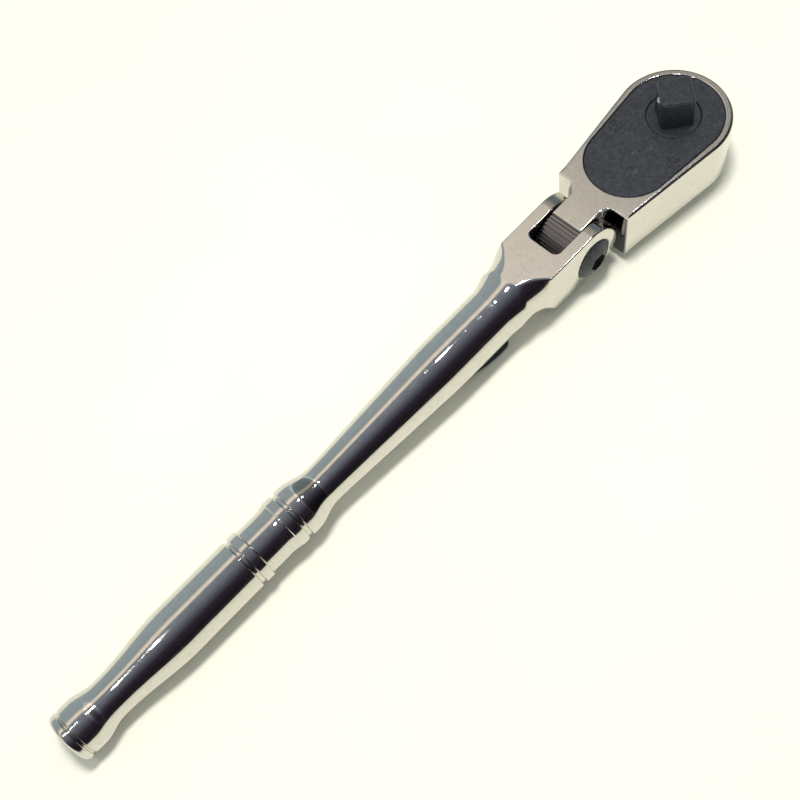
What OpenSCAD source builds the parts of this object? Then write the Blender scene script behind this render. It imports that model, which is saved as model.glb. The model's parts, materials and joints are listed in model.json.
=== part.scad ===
// Locking flex-head ratchet wrench, 3/8 inch square drive.
// Frame: origin on the drive axis at mid-thickness of the head, +X from the handle
// towards the head's tip, +Z out along the drive square. The head is in line with the
// handle, the tilt lock is engaged, and the drive ratchets one way.

/* [Overall] */
// Length from the butt to the tip of the head
overall_len = 254; // [245:0.5:262]

/* [Head] */
// Radius of the head's round tip
tip_r = 16.9; // [16.5:0.1:17.5]
// Half thickness of the head
head_half = 9.3; // [9.2:0.05:9.5]
// Distance from the drive axis back to the shoulder
shoulder_back = 35.9; // [35.5:0.1:36.3]
// Half width of the head at the shoulder
shoulder_half = 12.5; // [12:0.1:13]
// Radius of the cover plate round the drive axis
plate_r = 14.5; // [14.2:0.05:14.7]
// Radius of the cover plate at its rear end
plate_rear_r = 12.7; // [12.2:0.05:12.8]
// Thickness of the cover plate
plate_t = 2.2; // [2:0.1:2.4]

/* [Drive] */
// Across flats of the drive square
square_af = 9.525; // [9.4:0.005:9.6]
// Length of the square beyond the collar
square_len = 10.7; // [10:0.1:12]
// Turn of the square about the drive axis at rest
square_turn = -39.7; // [-45:0.1:45]
// Teeth on the drive gear
gear_teeth = 72; // [72]
// Tip radius of the drive gear
gear_r = 11.2; // [11.1:0.05:11.25]

/* [Flex joint] */
// Distance from the drive axis back to the hinge
hinge_back = 47; // [46.9:0.05:47.2]
// Half height of the clevis
clevis_half = 9.9; // [9.8:0.05:10]
// Half width of the clevis at mid-height
clevis_side = 10.15; // [10:0.05:10.3]
// Half width of the clevis slot
slot_half = 5.45; // [5.42:0.01:5.48]
// Notch pitch of the tilt lock in degrees
notch_pitch = 7.5; // [7.5]

/* [Handle] */
// Radius of the grip
grip_r = 7.85; // [7.7:0.05:8]
// Radius of the neck in front of the clevis
neck_r = 8.25; // [8.15:0.05:8.4]
// Radius of the waists at both ends of the grip
waist_r = 5.95; // [5.7:0.05:6.3]
// Radius of the butt rings
butt_r = 7.4; // [7.2:0.05:7.6]

/* [Hidden] */

$fn = 64;
eps = 0.01;       // overlap of cutters with the face they start from
run_fit = 0.05;   // radial clearance of a running fit

// Colours
chrome = [0.78, 0.79, 0.82];
black_oxide = [0.13, 0.13, 0.15];
spring_steel = [0.55, 0.56, 0.60];
bronze = [0.72, 0.52, 0.30];
rubber = [0.08, 0.08, 0.08];

// Places along the handle
butt_x = tip_r - overall_len;
hinge_x = -hinge_back;
slot_rear_x = hinge_x - 10.5;
clevis_corner_r = 14.2;
flare_slope = 0.42;
fillet_x = hinge_x - 25.2;
fillet_r = 11.7;
fillet_rise = 1.5;
fillet_in = neck_r + 0.7;
groove_depth = 0.6;
rear_groove = [-176.0, -174.4];
band = [-171.9, -161.6];
front_groove = [-158.9, -157.3];
front_waist = [-155.6, -146.4];
taper = [-144.4, -101];

// Tilt lock
knuckle_tip_r = 9.0;
knuckle_root_r = 8.5;
tang_half = slot_half - 0.25;
plunger_r = 3.8;
plunger_rear_x = -95.5;
plunger_tongue_half = 2.0;
bore_end_x = -104.5;
trigger_pivot = [-90, -6];
trigger_half = 3.8;
trigger_slot = [-97.2, -76.2];
pad_low = [-82, -10.8];
pad_half = 6.2;
pad_t = 1.0;
pad_r = 45;
pad_bow_r = 70;
pad_mid_x = -86.8;
pad_end_r = 9.8;
pin_r = 1.0;

// Hinge fastener
barrel_r = 4.0;
hinge_thread_r = 2.5;
hinge_head_r = 6.4;
hinge_seat_y = 9.75;
hinge_dome = 2.1;

// Head cavity
plate_z = head_half - plate_t;
plate_rear_x = -19.95;
gasket_t = 0.4;
floor_z = -5.8;
gear_z = [-5.6, 5.0];
gear_depth = 0.5;
collar_r = 7.9;
collar_top = 9.1;
journal_r = 7.0;
square_top = collar_top + square_len;
cover_screw_at = [-13.2, 10.6];

// Detent ball in the square
ball_r = 1.55;
ball_z = square_top - 3.4;
ball_face_angle = square_turn + 180;

// Pawl and reverse lever
pawl_pivot_x = -17.5;
pawl_pin_r = 1.6;
pawl_swing = 5;
lever_x = -27;
lever_rest = 30;
lever_swing = -60;
shaft_r = 3.4;
nose_r = 1.3;
nose_reach = 5.2;

// ---- General shapes ----

// Turns a shape drawn along +Z so that it runs along +X.
module along_x() { rotate([0, 90, 0]) children(); }

// Turns a shape drawn along +Z so that it runs along +Y.
module along_y() { rotate([-90, 0, 0]) children(); }

// Mirror image of a shape when side is negative, else the shape itself.
module flip_y(side) {
    if (side < 0) mirror([0, 1, 0]) children();
    else children();
}

module flip_z(side) {
    if (side < 0) mirror([0, 0, 1]) children();
    else children();
}

// Ring with a round bore, standing on z = 0.
module ring(outer, inner, h) {
    difference() {
        cylinder(r = outer, h = h);
        translate([0, 0, -eps]) cylinder(r = inner, h = h + 2 * eps);
    }
}

// Smooth step from a to b as t goes from 0 to 1.
function ease(a, b, t) = a + (b - a) * (1 - cos(180 * t)) / 2;

// Outline points [x, r] of a smooth step between two radii.
function blend_points(x0, r0, x1, r1, n) =
    [for (i = [0 : n]) [x0 + (x1 - x0) * i / n, ease(r0, r1, i / n)]];

function polar(r, a) = [r * cos(a), r * sin(a)];
function turn_about(p, c, a) =
    [c[0] + (p[0] - c[0]) * cos(a) - (p[1] - c[1]) * sin(a),
     c[1] + (p[0] - c[0]) * sin(a) + (p[1] - c[1]) * cos(a)];

// Outline of the teeth from number first to number last; each tooth is a flat-topped V.
function tooth_points(pitch, tip, root, first, last) =
    [for (i = [first : last]) for (p = [[-0.5, root], [-0.12, tip], [0.12, tip]])
        polar(p[1], (i + p[0]) * pitch)];

// Coil spring along +Z with ground-flat length len.
module coil(len, mean_r, wire_r, turns) {
    sides = 6;
    steps = 12 * turns;
    pts = [for (i = [0 : steps]) for (j = [0 : sides - 1])
        let (a = 360 * turns * i / steps, b = 360 * j / sides,
             r = mean_r + wire_r * cos(b),
             z = wire_r + (len - 2 * wire_r) * i / steps + wire_r * sin(b))
        [r * cos(a), r * sin(a), z]];
    walls = [for (i = [0 : steps - 1]) for (j = [0 : sides - 1])
        let (k = (j + 1) % sides)
        [i * sides + j, i * sides + k, (i + 1) * sides + k, (i + 1) * sides + j]];
    start = [for (j = [0 : sides - 1]) sides - 1 - j];
    end = [for (j = [0 : sides - 1]) steps * sides + j];
    polyhedron(points = pts, faces = concat([start, end], [for (w = walls)
        [w[3], w[2], w[1], w[0]]]), convexity = 6);
}

// ---- Handle ----

// Turned outline of the handle as [distance along +X, radius].
function handle_outline() = concat(
    [[butt_x, 0], [butt_x, butt_r - 1.3]],
    [for (a = [15 : 15 : 75]) [butt_x + 1.3 - 1.3 * cos(a), butt_r - 1.3 + 1.3 * sin(a)]],
    [[butt_x + 1.3, butt_r], [butt_x + 2.2, butt_r], [butt_x + 2.7, butt_r - 0.5],
     [butt_x + 3.2, butt_r]],
    blend_points(butt_x + 6.2, butt_r, butt_x + 13.6, waist_r, 8),
    blend_points(butt_x + 14.6, waist_r, butt_x + 38, grip_r, 12),
    // groove and ring at the front of the grip
    groove_points(rear_groove),
    [[band[0], grip_r], [band[0] + 0.3, grip_r - groove_depth]],
    // band between the rings, with a fillet up to the front ring
    blend_points(band[1] - 2.8, grip_r - groove_depth, band[1] - 0.1, grip_r - 0.25, 4),
    [[band[1], grip_r]],
    groove_points(front_groove),
    blend_points(front_waist[0], grip_r, front_waist[1], waist_r, 9),
    [[taper[0], waist_r], [taper[1], neck_r], [neck_end_x(), neck_r]],
    [for (i = [1 : 5]) [neck_end_x() + i, neck_r + flare_slope * i * i / 10]],
    [[neck_end_x() + 5 + (clevis_corner_r - neck_r - 2.5 * flare_slope) / flare_slope,
      clevis_corner_r],
     [hinge_x + 11, clevis_corner_r], [hinge_x + 11, 0]]);

// Groove with sloping walls in the grip.
function groove_points(span) =
    [[span[0], grip_r], [span[0] + 0.4, grip_r - groove_depth],
     [span[1] - 0.4, grip_r - groove_depth], [span[1], grip_r]];

// The flare meets the clevis flat 25.7 mm behind the hinge.
function neck_end_x() =
    hinge_x - 25.7 - 5 - (clevis_half - neck_r - 2.5 * flare_slope) / flare_slope;

module handle_blank() {
    barrel = 60;
    intersection() {
        along_x() rotate([0, 0, 90]) rotate_extrude($fn = 96)
            polygon([for (p = handle_outline()) [p[1], p[0]]]);
        translate([-300, -50, -clevis_half]) cube([300, 100, 2 * clevis_half]);
        // crowned sides
        translate([-300, barrel - clevis_side, 0]) along_x() cylinder(r = barrel, h = 300);
        translate([-300, clevis_side - barrel, 0]) along_x() cylinder(r = barrel, h = 300);
        union() {
            translate([-300, -50, -50]) cube([300 + hinge_x, 100, 100]);
            translate([hinge_x, -50, 0]) along_y()
                cylinder(r = clevis_half + 0.07, h = 100);
        }
    }
}

// Room cut round the sides and underside, so that they flare steeply into the clevis.
module flare_fillet() {
    arc = [for (a = [0 : 7 : 70])
        [fillet_x + fillet_r * sin(a), fillet_in + fillet_r * (1 - cos(a))]];
    rear = fillet_x - 26;
    clear_r = neck_r + fillet_rise + 0.05;
    room = concat([[rear, clear_r], [fillet_x - 7.8, fillet_in]], arc,
        [[fillet_x + 11, 25], [rear, 25]]);
    translate([0, 0, fillet_rise]) along_x() rotate([0, 0, 90]) rotate_extrude($fn = 96)
        polygon([for (p = room) [p[1], p[0]]]);
}

module handle() {
    corner = 2;
    color(chrome) difference() {
        handle_blank();
        flare_fillet();
        // clevis slot with rounded rear corners
        translate([slot_rear_x + corner, -slot_half, -20])
            cube([40, 2 * slot_half, 40]);
        translate([slot_rear_x, corner - slot_half, -20])
            cube([corner + eps, 2 * (slot_half - corner), 40]);
        for (s = [-1, 1]) translate([slot_rear_x + corner, s * (slot_half - corner), -20])
            cylinder(r = corner, h = 40);
        // hinge bore and the spot faces under both heads
        translate([hinge_x, -20, 0]) along_y() cylinder(r = barrel_r + 0.02, h = 40);
        for (s = [-1, 1]) translate([hinge_x, s * (hinge_seat_y + 5), 0]) along_y()
            translate([0, 0, -5]) cylinder(r = hinge_head_r + 0.2, h = 10);
        // plunger bore
        translate([bore_end_x, 0, 0]) along_x()
            cylinder(r = plunger_r + run_fit, h = slot_rear_x - bore_end_x + 1);
        // trigger slot and its pin hole
        translate([trigger_slot[0], -trigger_half - 0.2, -20])
            cube([trigger_slot[1] - trigger_slot[0], 2 * (trigger_half + 0.2), 20]);
        translate([trigger_pivot[0], -20, trigger_pivot[1]]) along_y()
            cylinder(r = pin_r + 0.02, h = 40);
    }
}

// ---- Hinge ----

// Low domed head standing on y = 0, bulging towards +Y.
module domed_head() {
    rim = 0.4;
    dome_r = (hinge_head_r * hinge_head_r + hinge_dome * hinge_dome) / (2 * hinge_dome);
    along_y() intersection() {
        cylinder(r = hinge_head_r, h = rim + hinge_dome);
        translate([0, 0, rim + hinge_dome - dome_r]) sphere(r = dome_r, $fn = 96);
    }
}

module hinge_nut() {
    color(black_oxide) translate([hinge_x, 0, 0]) difference() {
        union() {
            translate([0, hinge_seat_y, 0]) domed_head();
            translate([0, -hinge_seat_y + 0.8, 0]) along_y()
                cylinder(r = barrel_r, h = 2 * hinge_seat_y - 0.8 + eps);
        }
        translate([0, -20, 0]) along_y() cylinder(r = hinge_thread_r + 0.03, h = 20 + 7);
        translate([0, hinge_seat_y + 0.6, 0]) along_y() cylinder(r = 2.9, h = 5, $fn = 6);
    }
}

module hinge_screw() {
    color(black_oxide) translate([hinge_x, 0, 0]) mirror([0, 1, 0]) difference() {
        union() {
            translate([0, hinge_seat_y, 0]) domed_head();
            translate([0, -6, 0]) along_y() cylinder(r = hinge_thread_r, h = hinge_seat_y + 6.5);
        }
        translate([0, hinge_seat_y + 0.6, 0]) along_y() cylinder(r = 2.9, h = 5, $fn = 6);
    }
}

module hinge_shims() {
    color(bronze) for (s = [-1, 1])
        translate([hinge_x, s * (tang_half + 0.125) - 0.1, 0]) along_y()
            ring(7.2, barrel_r + 0.1, 0.2);
}

// ---- Tilt lock ----

// Rear half of the toothed knuckle in the plane [x, z] about the hinge, grown by gap.
module knuckle_outline(gap) {
    polygon(concat([[0, 0]], [polar(knuckle_tip_r + gap, 90)],
        [for (i = [90 / notch_pitch : 270 / notch_pitch - 1])
            for (p = [[0.15, knuckle_tip_r], [0.36, knuckle_root_r],
                      [0.64, knuckle_root_r], [0.85, knuckle_tip_r]])
                polar(p[1] + gap, (i + p[0]) * notch_pitch)],
        [polar(knuckle_tip_r + gap, 270)]));
}

module lock_plunger() {
    tooth_gap = 0.08;
    color(spring_steel) difference() {
        union() {
            translate([plunger_rear_x, 0, 0]) along_x()
                cylinder(r = plunger_r, h = slot_rear_x - 2.6 - plunger_rear_x);
            intersection() {
                translate([slot_rear_x - 3, 0, 0]) along_x() cylinder(r = plunger_r, h = 8);
                translate([slot_rear_x - 3, -10, -plunger_tongue_half])
                    cube([8, 20, 2 * plunger_tongue_half]);
            }
        }
        translate([hinge_x, 10, 0]) rotate([90, 0, 0])
            linear_extrude(20) knuckle_outline(tooth_gap);
        // notch for the trigger's arm, wider below the arm's round end
        translate([trigger_pivot[0] - 1.38, -2, -1.5]) cube([2.76, 4, 3.2]);
        translate([trigger_pivot[0] - 2.6, -2, -10]) cube([5.2, 4, 8.6]);
        // seat of the spring
        translate([plunger_rear_x - 1, 0, 0]) along_x() cylinder(r = 2.9, h = 2.5);
    }
}

module lock_spring() {
    color(spring_steel) translate([bore_end_x + 0.05, 0, 0]) along_x()
        coil(plunger_rear_x + 1.45 - bore_end_x - 0.1, 2.35, 0.45, 6);
}

// Side view of the curved finger pad [x, z], thinner where its body joins it.
module pad_arc(thickness) {
    translate([pad_low[0], pad_low[1] + pad_r]) difference() {
        circle(r = pad_r, $fn = 192);
        circle(r = pad_r - thickness, $fn = 192);
    }
}

// Finger pad: a bent plate, wider than the slot, with bowed sides and round ends.
module finger_pad() {
    intersection() {
        translate([0, 20, 0]) rotate([90, 0, 0]) linear_extrude(40) pad_arc(pad_t);
        translate([0, 0, -15]) linear_extrude(10) intersection() {
            translate([pad_low[0], pad_bow_r - pad_half]) circle(r = pad_bow_r, $fn = 192);
            translate([pad_low[0], pad_half - pad_bow_r]) circle(r = pad_bow_r, $fn = 192);
            translate([pad_mid_x, 0]) circle(r = pad_end_r, $fn = 96);
        }
    }
}

// Side view [x, z] of the body that runs up into the slot.
module trigger_body() {
    rear = trigger_pivot[0] - 6;
    front = trigger_pivot[0] + 11.4;
    intersection() {
        translate([pad_low[0], pad_low[1] + pad_r]) circle(r = pad_r - pad_t / 2, $fn = 192);
        polygon([[rear, -15], [front, -15], [front + 0.4, -7.6], [front - 8.1, -6.6],
                 [front - 9.6, -5.2], [rear + 4.2, -5.2], [rear + 2.6, -6.2], [rear, -7.6]]);
    }
}

module trigger() {
    color(black_oxide) difference() {
        union() {
            translate([0, trigger_half, 0]) rotate([90, 0, 0])
                linear_extrude(2 * trigger_half) trigger_body();
            finger_pad();
            // boss round the pin
            translate([trigger_pivot[0], -trigger_half, trigger_pivot[1]]) along_y()
                cylinder(r = 1.9, h = 2 * trigger_half);
            // arm with a round end that draws the plunger back
            translate([trigger_pivot[0] - 0.8, -1.5, trigger_pivot[1] + 1]) cube([1.6, 3, 4.6]);
            translate([trigger_pivot[0], -1.5, 0]) along_y() cylinder(r = 1.3, h = 3);
        }
        translate([trigger_pivot[0], -10, trigger_pivot[1]]) along_y()
            cylinder(r = pin_r + run_fit, h = 20);
    }
}

module trigger_pin() {
    half = 5.4;
    color(chrome) translate([trigger_pivot[0], -half, trigger_pivot[1]]) along_y()
        cylinder(r = pin_r, h = 2 * half);
}

// ---- Head ----

// Plan of the head: round tip and straight sides that narrow to the shoulder.
module head_plan() {
    circle(r = tip_r, $fn = 128);
    side_x = 0.12 * tip_r;
    polygon([[-shoulder_back, -shoulder_half], [side_x - 0.3, -tip_r * 0.992],
             [side_x - 0.3, tip_r * 0.992], [-shoulder_back, shoulder_half]]);
}

// Plan of the cover plate, grown by gap.
module plate_plan(gap) {
    circle(r = plate_r + gap, $fn = 128);
    translate([plate_rear_x, 0]) circle(r = plate_rear_r + gap, $fn = 128);
    tilt = asin((plate_r - plate_rear_r) / -plate_rear_x);
    front = polar(plate_r + gap - 0.02, 90 + tilt);
    rear = polar(plate_rear_r + gap - 0.02, 90 + tilt) + [plate_rear_x, 0];
    polygon([front, rear, [rear[0], -rear[1]], [front[0], -front[1]]]);
}

// Space for the gear, the pawl and the reverse shaft.
module cavity_plan() {
    circle(r = gear_r + 0.5, $fn = 128);
    translate([-22.5, -8.3]) square([14.5, 16.6]);
    translate([lever_x, 0]) circle(r = 5.3);
    translate([lever_x, -5]) square([6, 10]);
}

module head_bevels() {
    b = 0.9;
    side = atan2(tip_r * 0.992 - shoulder_half, shoulder_back + 0.12 * tip_r - 0.3);
    for (sz = [-1, 1]) {
        // round the tip
        flip_z(sz) translate([0, 0, head_half - b]) difference() {
            translate([-1, -30, 0]) cube([30, 60, 3]);
            cylinder(r1 = tip_r, r2 = tip_r - b - 0.1, h = b + 0.1);
        }
        // along both sides
        for (sy = [-1, 1]) translate([-shoulder_back, sy * shoulder_half, sz * head_half])
            rotate([0, 0, sy * side]) rotate([45, 0, 0])
                translate([-5, -b * 0.7071, -b * 0.7071])
                    cube([shoulder_back + 4, 2 * b * 0.7071, 2 * b * 0.7071]);
    }
}

module head_blank() {
    fillet = 3;
    difference() {
        translate([0, 0, -head_half]) linear_extrude(2 * head_half) head_plan();
        head_bevels();
    }
    // tang, with fillets where it meets the shoulder
    translate([hinge_x, -tang_half, -head_half])
        cube([hinge_back - shoulder_back + 1, 2 * tang_half, 2 * head_half]);
    for (s = [-1, 1]) flip_y(s) difference() {
        translate([-shoulder_back - fillet, tang_half - 1, -head_half])
            cube([fillet + 1, fillet + 1, 2 * head_half]);
        translate([-shoulder_back - fillet, tang_half + fillet, -head_half - 1])
            cylinder(r = fillet, h = 2 * head_half + 2);
    }
    // toothed knuckle
    translate([hinge_x, tang_half, 0]) rotate([90, 0, 0])
        linear_extrude(2 * tang_half) knuckle_outline(0);
}

module head_housing() {
    color(chrome) difference() {
        head_blank();
        translate([hinge_x, -20, 0]) along_y() cylinder(r = barrel_r + run_fit, h = 40);
        // clearance for the ears of the clevis
        for (s = [-1, 1]) flip_y(s) translate([hinge_x, tang_half + 0.01, 0]) along_y()
            cylinder(r = clevis_half + 0.55, h = 10);
        translate([0, 0, plate_z - gasket_t]) linear_extrude(5) plate_plan(0.08);
        translate([0, 0, floor_z]) linear_extrude(20) cavity_plan();
        // blind bearing of the drive gear
        translate([0, 0, -8.1]) cylinder(r = journal_r + run_fit, h = 5);
        // holes of the pawl pin, the reverse shaft with its o-ring, and the cover screws
        translate([pawl_pivot_x, 0, -8.2]) cylinder(r = pawl_pin_r + 0.02, h = 5);
        translate([lever_x, 0, -20]) cylinder(r = shaft_r + run_fit, h = 20);
        translate([lever_x, 0, -8.6]) cylinder(r = shaft_r + 1.5, h = 1.3);
        for (s = [-1, 1]) translate([cover_screw_at[0], s * cover_screw_at[1], -2])
            cylinder(r = 1.02, h = 20);
    }
}

module cover_plate() {
    color(black_oxide) difference() {
        translate([0, 0, plate_z + 0.02]) linear_extrude(plate_t - 0.02) plate_plan(0);
        cylinder(r = collar_r + run_fit, h = 20);
        for (s = [-1, 1]) translate([cover_screw_at[0], s * cover_screw_at[1], 0]) {
            cylinder(r = 1.1, h = 20);
            translate([0, 0, head_half - 1.1]) cylinder(r = 1.72, h = 5);
        }
        translate([pawl_pivot_x, 0, plate_z - 1]) cylinder(r = pawl_pin_r + 0.03, h = 2.1);
    }
}

module cover_gasket() {
    color(rubber) translate([0, 0, plate_z - gasket_t]) linear_extrude(gasket_t)
        difference() {
            plate_plan(-0.1);
            circle(r = gear_r + 0.9);
            translate([-24, -9]) square([16, 18]);
            translate([lever_x + 3, -6]) square([6, 12]);
            translate([lever_x, 0]) circle(r = 5.7);
            for (s = [-1, 1]) translate([cover_screw_at[0], s * cover_screw_at[1]])
                circle(r = 1.15);
        }
}

module cover_screws() {
    color(black_oxide) for (s = [-1, 1])
        translate([cover_screw_at[0], s * cover_screw_at[1], 0]) difference() {
            union() {
                translate([0, 0, head_half - 1.08]) cylinder(r = 1.66, h = 1.03);
                translate([0, 0, -1.5]) cylinder(r = 0.98, h = head_half + 0.5);
            }
            translate([0, 0, head_half - 0.7]) cylinder(r = 0.75, h = 2, $fn = 6);
        }
}

// ---- Drive ----

module drive_gear() {
    pitch = 360 / gear_teeth;
    color(black_oxide) difference() {
        union() {
            translate([0, 0, gear_z[0]]) linear_extrude(gear_z[1] - gear_z[0])
                polygon(tooth_points(pitch, gear_r, gear_r - gear_depth, 0, gear_teeth - 1));
            translate([0, 0, -8.0]) cylinder(r = journal_r, h = 4);
            cylinder(r = collar_r, h = collar_top - 0.4);
            translate([0, 0, collar_top - 0.4])
                cylinder(r1 = collar_r, r2 = collar_r - 0.4, h = 0.4);
            // square with relieved corners and a chamfered end
            intersection() {
                rotate([0, 0, square_turn]) translate([-square_af / 2, -square_af / 2, 0])
                    cube([square_af, square_af, square_top]);
                union() {
                    cylinder(r = 6.25, h = square_top - 0.9);
                    translate([0, 0, square_top - 0.9])
                        cylinder(r1 = 6.25, r2 = 5.0, h = 0.9);
                }
            }
        }
        rotate([0, 0, ball_face_angle]) translate([-2.6, 0, ball_z]) along_x()
            cylinder(r = ball_r + run_fit, h = 10);
    }
}

module thrust_washer() {
    color(spring_steel) translate([0, 0, gear_z[1] + 0.05])
        ring(10.2, collar_r + 0.2, 0.5);
}

module detent_ball() {
    color(spring_steel) rotate([0, 0, ball_face_angle])
        translate([square_af / 2 + 0.5 - ball_r, 0, ball_z]) sphere(r = ball_r);
}

module detent_spring() {
    len = square_af / 2 + 0.5 - 2 * ball_r + 2.6 - 0.1;
    color(spring_steel) rotate([0, 0, ball_face_angle])
        translate([-2.55, 0, ball_z]) along_x() coil(len, 1.0, 0.22, 5);
}

// ---- Reversing pawl ----

// Gear teeth that the pawl can meet, grown by gap, seen from a pawl rocked by angle.
module gear_sector(gap, angle) {
    pitch = 360 / gear_teeth;
    pts = tooth_points(pitch, gear_r + gap, gear_r - gear_depth + gap, 26, 46);
    polygon([for (p = concat([[0, 0]], pts)) turn_about(p, [pawl_pivot_x, 0], -angle)]);
}

// Path of the reverse plunger's nose, seen from the rocking pawl.
module nose_path(gap) {
    reach = nose_reach + nose_r + gap;
    span = [for (i = [-2 : 14]) let (t = i / 12, a = lever_rest + lever_swing * t)
        turn_about([lever_x, 0] + polar(reach, a), [pawl_pivot_x, 0],
                   -pawl_swing * min(1, max(0, t)))];
    polygon(concat(span, [[lever_x - 2, -8], [lever_x - 2, 8]]));
}

module pawl() {
    relief_r = 12.3;
    toothed_from = 3.4;
    color(spring_steel) translate([0, 0, -5.0]) linear_extrude(9.8) difference() {
        polygon([[-8.4, 7.3], [-13, 7.7], [-19.6, 4.4], [-22.4, 4.0],
                 [-22.4, -4.0], [-19.6, -4.4], [-13, -7.7], [-8.4, -7.3]]);
        for (i = [0 : 8]) gear_sector(0.07, pawl_swing * i / 8);
        // relief between the two toothed ends
        intersection() {
            circle(r = relief_r, $fn = 96);
            translate([-relief_r, -toothed_from]) square([relief_r, 2 * toothed_from]);
        }
        nose_path(0.06);
        translate([pawl_pivot_x, 0]) circle(r = pawl_pin_r + run_fit);
    }
}

module pawl_pin() {
    color(chrome) translate([pawl_pivot_x, 0, -8.1])
        cylinder(r = pawl_pin_r, h = plate_z + 0.9 + 8.1);
}

// ---- Reverse lever ----

module reverse_lever() {
    top = -head_half - 0.15;
    hub_t = 2.85;
    arm_t = 2.2;
    end_x = 11.8;
    end_r = 3.2;
    color(chrome) difference() {
        union() {
            translate([lever_x, 0, top]) rotate([0, 0, lever_rest]) {
                translate([0, 0, -hub_t]) rotate([0, 0, 180]) cylinder(r = 6.2, h = hub_t);
                translate([0, 0, -arm_t]) linear_extrude(arm_t)
                    polygon([[0, -4.8], [end_x, 0.1 - end_r], [end_x, end_r - 0.1], [0, 4.8]]);
                translate([end_x, 0, -arm_t]) cylinder(r = end_r, h = arm_t);
                // raised thumb rib at the end
                translate([end_x - 1, 0, -arm_t - 0.5]) cylinder(r = 1.9, h = 1);
            }
            translate([lever_x, 0, top - 0.5]) rotate([0, 0, 180])
                cylinder(r = shaft_r, h = 5.8 - top + 0.5);
        }
        // groove of the retaining clip
        translate([lever_x, 0, floor_z + 0.15]) ring(shaft_r + 1, shaft_r - 0.5, 0.7);
        // cross hole of the sprung plunger
        translate([lever_x, 0, 0]) rotate([0, 0, lever_rest]) translate([-2.4, 0, 0])
            along_x() cylinder(r = nose_r + run_fit, h = 10);
    }
}

module reverse_plunger() {
    color(spring_steel) translate([lever_x, 0, 0]) rotate([0, 0, lever_rest]) {
        translate([1.2, 0, 0]) along_x() cylinder(r = nose_r, h = nose_reach - 1.2);
        translate([nose_reach, 0, 0]) sphere(r = nose_r);
    }
}

module reverse_spring() {
    color(spring_steel) translate([lever_x, 0, 0]) rotate([0, 0, lever_rest])
        translate([-2.35, 0, 0]) along_x() coil(3.5, 0.95, 0.2, 5);
}

module lever_clip() {
    color(spring_steel) translate([lever_x, 0, floor_z + 0.2]) difference() {
        ring(4.7, shaft_r - 0.45, 0.6);
        translate([-6, -1.2, -1]) cube([6, 2.4, 3]);
    }
}

module lever_o_ring() {
    color(rubber) translate([lever_x, 0, -7.95]) rotate_extrude()
        translate([shaft_r + 0.8, 0]) circle(r = 0.6, $fn = 32);
}

handle();
hinge_nut();
hinge_screw();
hinge_shims();
lock_plunger();
lock_spring();
trigger();
trigger_pin();
head_housing();
cover_plate();
cover_gasket();
cover_screws();
drive_gear();
thrust_washer();
detent_ball();
detent_spring();
pawl();
pawl_pin();
reverse_lever();
reverse_plunger();
reverse_spring();
lever_clip();
lever_o_ring();
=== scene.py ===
"""Looks of the flex-head ratchet wrench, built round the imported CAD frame.

Each visible piece is an implicit surface: a field in millimetres that is negative inside
the metal and has its edges rounded, meshed on a grid, with every vertex then moved onto
the exact surface and given the surface's own normal, so polished faces reflect cleanly.
"""
import json
import math

import bpy
import numpy as np
from mathutils import Matrix, Vector

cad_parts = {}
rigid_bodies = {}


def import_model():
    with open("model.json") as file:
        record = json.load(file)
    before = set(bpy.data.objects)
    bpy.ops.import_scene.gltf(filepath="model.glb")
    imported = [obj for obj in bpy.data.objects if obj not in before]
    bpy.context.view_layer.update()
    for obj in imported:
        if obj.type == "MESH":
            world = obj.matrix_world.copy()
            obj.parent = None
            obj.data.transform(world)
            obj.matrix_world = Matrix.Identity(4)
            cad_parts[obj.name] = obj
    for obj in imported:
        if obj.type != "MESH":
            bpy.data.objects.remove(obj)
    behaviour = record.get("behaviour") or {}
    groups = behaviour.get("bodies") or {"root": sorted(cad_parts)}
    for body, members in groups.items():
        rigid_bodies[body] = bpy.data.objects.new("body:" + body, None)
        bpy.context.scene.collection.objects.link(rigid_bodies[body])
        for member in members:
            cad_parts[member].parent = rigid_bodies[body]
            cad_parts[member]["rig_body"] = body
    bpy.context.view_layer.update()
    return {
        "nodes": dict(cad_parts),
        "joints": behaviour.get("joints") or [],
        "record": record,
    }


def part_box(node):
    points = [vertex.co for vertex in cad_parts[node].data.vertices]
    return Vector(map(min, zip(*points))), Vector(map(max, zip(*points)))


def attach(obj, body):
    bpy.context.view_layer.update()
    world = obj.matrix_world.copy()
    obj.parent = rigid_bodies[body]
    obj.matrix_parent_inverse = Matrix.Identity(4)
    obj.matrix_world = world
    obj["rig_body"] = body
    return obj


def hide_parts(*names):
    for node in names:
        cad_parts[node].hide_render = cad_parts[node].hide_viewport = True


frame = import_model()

MM = 0.001

# ---- Sizes, in millimetres, in the frame of the CAD model ----

JOINTS = {j["name"]: j for j in frame["joints"]}
HINGE_X = JOINTS["head_tilt"]["pos_m"][0] / MM
LEVER_X = JOINTS["reverse_turn"]["pos_m"][0] / MM
PAWL_X = JOINTS["pawl_rock"]["pos_m"][0] / MM
TRIGGER_X = JOINTS["trigger_press"]["pos_m"][0] / MM
TRIGGER_Z = JOINTS["trigger_press"]["pos_m"][2] / MM
BUTT_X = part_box("handle")[0].x / MM
TIP_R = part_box("head_housing")[1].x / MM
HEAD_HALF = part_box("head_housing")[1].z / MM
SQUARE_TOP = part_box("drive_gear")[1].z / MM

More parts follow.
